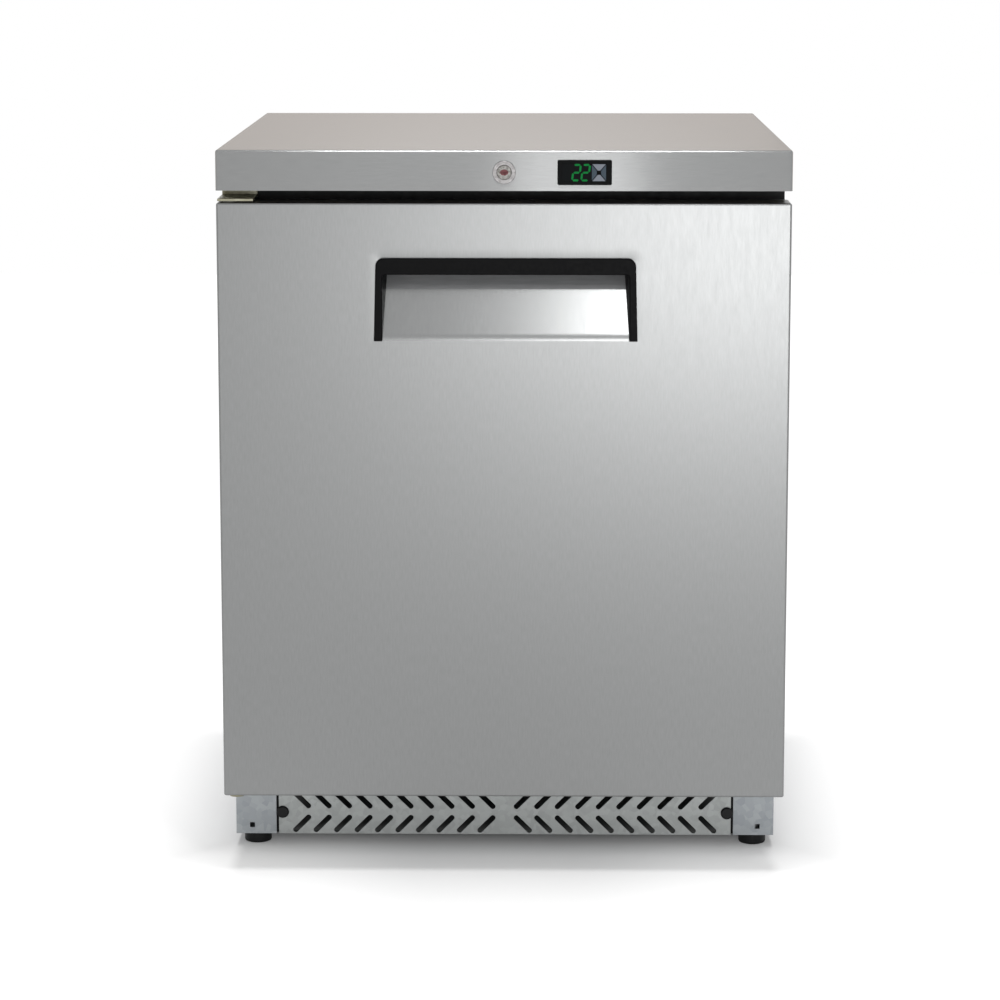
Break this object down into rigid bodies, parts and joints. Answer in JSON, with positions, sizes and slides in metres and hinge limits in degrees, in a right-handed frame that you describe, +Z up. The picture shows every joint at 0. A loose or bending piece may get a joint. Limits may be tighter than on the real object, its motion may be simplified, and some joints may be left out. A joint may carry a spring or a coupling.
{
  "type": "undercounter refrigerator",
  "caption": "Stainless undercounter refrigerator with a solid left-hinged door, scoop handle, lock, controller, slotted base and screw feet.",
  "frame": {"origin": "on the floor, in the middle of the footprint, which runs from the front of the handle to the rear of the worktop", "axes": "+Z up, -Y the way the door faces, +X to the right of a user facing the door"},
  "size_m": [0.658, 0.694, 0.85],
  "materials": {
    "stainless": "brushed, vertical grain",
    "board": "raw board",
    "galvanised": "galvanised, faint spangle",
    "grille_steel": "galvanised, satin",
    "frame_steel": "satin",
    "frame_black": "satin black",
    "white_plastic": "smooth white",
    "foam": "rigid foam",
    "black_screw": "satin black",
    "zinc_plate": "passivated zinc",
    "chrome": "polished",
    "steel": "bright zinc",
    "black_plastic": "fine-grained black",
    "smoked_window": "smoked, glossy",
    "grey_key": "satin grey",
    "slate_key": "satin slate",
    "gasket_rubber": "soft grey",
    "black_rubber": "matt black",
    "foot_plastic": "satin black",
    "bearing_plastic": "natural nylon",
    "shelf_wire": "plated wire",
    "fin_aluminium": "bright fins",
    "fan_plastic": "black",
    "black_paint": "satin black paint",
    "copper": "dull copper",
    "probe_steel": "satin"
  },
  "bodies": {
    "cabinet": {"worktop_skin": "stainless", "worktop_core": "board", "side_panel_left": "stainless", "side_panel_right": "stainless", "rear_panel": "galvanised", "underside_pan": "galvanised", "front_frame": "frame_black", "breaker_strip": "white_plastic", "insulation": "foam", "inner_liner": "white_plastic", "base_rail_left": "galvanised", "base_rail_right": "galvanised", "front_grille": "grille_steel", "grille_screws": "black_screw", "compressor_tray": "galvanised", "hinge_top_bracket": "zinc_plate", "hinge_bottom_bracket": "zinc_plate", "lock_housing": "chrome", "controller_case": "black_plastic", "controller_window": "smoked_window", "shelf_pilasters": "frame_steel", "shelf_clips": "frame_steel", "evaporator_cover": "stainless", "evaporator_coil": "fin_aluminium", "evaporator_fan_frame": "black_plastic", "drip_tray": "white_plastic", "temperature_probe": "probe_steel", "compressor": "black_paint", "compressor_mounts": "black_rubber", "condenser": "fin_aluminium", "condenser_shroud": "galvanised", "condenser_fan_motor": "black_paint", "refrigerant_pipes": "copper", "evaporation_tray": "black_plastic", "electrical_box": "black_plastic", "rear_grille": "galvanised", "cable_gland": "black_plastic"},
    "door": {"door_skin": "stainless", "door_foam": "foam", "door_liner": "white_plastic", "door_gasket": "gasket_rubber", "door_bearings": "bearing_plastic", "lock_strike": "black_plastic", "handle_bezel": "black_plastic", "handle_scoop": "stainless"},
    "lock": {"lock_barrel": "chrome", "lock_cam": "steel"},
    "key_up": {"key_up": "grey_key"},
    "key_down": {"key_down": "grey_key"},
    "key_left": {"key_left": "slate_key"},
    "key_right": {"key_right": "slate_key"},
    "evaporator_fan": {"evaporator_fan_blades": "fan_plastic"},
    "condenser_fan": {"condenser_fan_blades": "fin_aluminium"},
    "foot_front_left": {"foot_front_left": "foot_plastic"},
    "foot_front_right": {"foot_front_right": "foot_plastic"},
    "foot_rear_left": {"foot_rear_left": "foot_plastic"},
    "foot_rear_right": {"foot_rear_right": "foot_plastic"},
    "shelf_lower": {"shelf_lower": "shelf_wire"},
    "shelf_upper": {"shelf_upper": "shelf_wire"}
  },
  "joints": [
    {"name": "door_hinge", "type": "hinge", "parent": "cabinet", "child": "door", "pos_m": [-0.315, -0.323, 0.44], "axis": [0, 0, -1], "range_deg": [0, 110]},
    {"name": "lock_turn", "type": "hinge", "parent": "cabinet", "child": "lock", "pos_m": [0.0005, -0.33, 0.8247], "axis": [0, 1, 0], "range_deg": [0, 90]},
    {"name": "key_up_press", "type": "slide", "parent": "cabinet", "child": "key_up", "axis": [0, 1, 0], "range_m": [0, 0.0005], "stiffness_N_per_m": 1500, "springref_m": -0.0003},
    {"name": "key_down_press", "type": "slide", "parent": "cabinet", "child": "key_down", "axis": [0, 1, 0], "range_m": [0, 0.0005], "stiffness_N_per_m": 1500, "springref_m": -0.0003},
    {"name": "key_left_press", "type": "slide", "parent": "cabinet", "child": "key_left", "axis": [0, 1, 0], "range_m": [0, 0.0005], "stiffness_N_per_m": 1500, "springref_m": -0.0003},
    {"name": "key_right_press", "type": "slide", "parent": "cabinet", "child": "key_right", "axis": [0, 1, 0], "range_m": [0, 0.0005], "stiffness_N_per_m": 1500, "springref_m": -0.0003},
    {"name": "evaporator_fan_spin", "type": "hinge", "parent": "cabinet", "child": "evaporator_fan", "pos_m": [0, 0.24, 0.661], "axis": [0, -1, 0], "continuous": true},
    {"name": "condenser_fan_spin", "type": "hinge", "parent": "cabinet", "child": "condenser_fan", "pos_m": [0.166, 0.232, 0.1326], "axis": [1, 0, 0], "continuous": true},
    {"name": "foot_front_left_screw", "type": "slide", "parent": "cabinet", "child": "foot_front_left", "axis": [0, 0, -1], "range_m": [0, 0.012]},
    {"name": "foot_front_right_screw", "type": "slide", "parent": "cabinet", "child": "foot_front_right", "axis": [0, 0, -1], "range_m": [0, 0.012]},
    {"name": "foot_rear_left_screw", "type": "slide", "parent": "cabinet", "child": "foot_rear_left", "axis": [0, 0, -1], "range_m": [0, 0.012]},
    {"name": "foot_rear_right_screw", "type": "slide", "parent": "cabinet", "child": "foot_rear_right", "axis": [0, 0, -1], "range_m": [0, 0.012]},
    {"name": "shelf_lower_lift", "type": "slide", "parent": "cabinet", "child": "shelf_lower", "axis": [0, 0, 1], "range_m": [0, 0.03]},
    {"name": "shelf_upper_lift", "type": "slide", "parent": "cabinet", "child": "shelf_upper", "axis": [0, 0, 1], "range_m": [0, 0.03]}
  ]
}
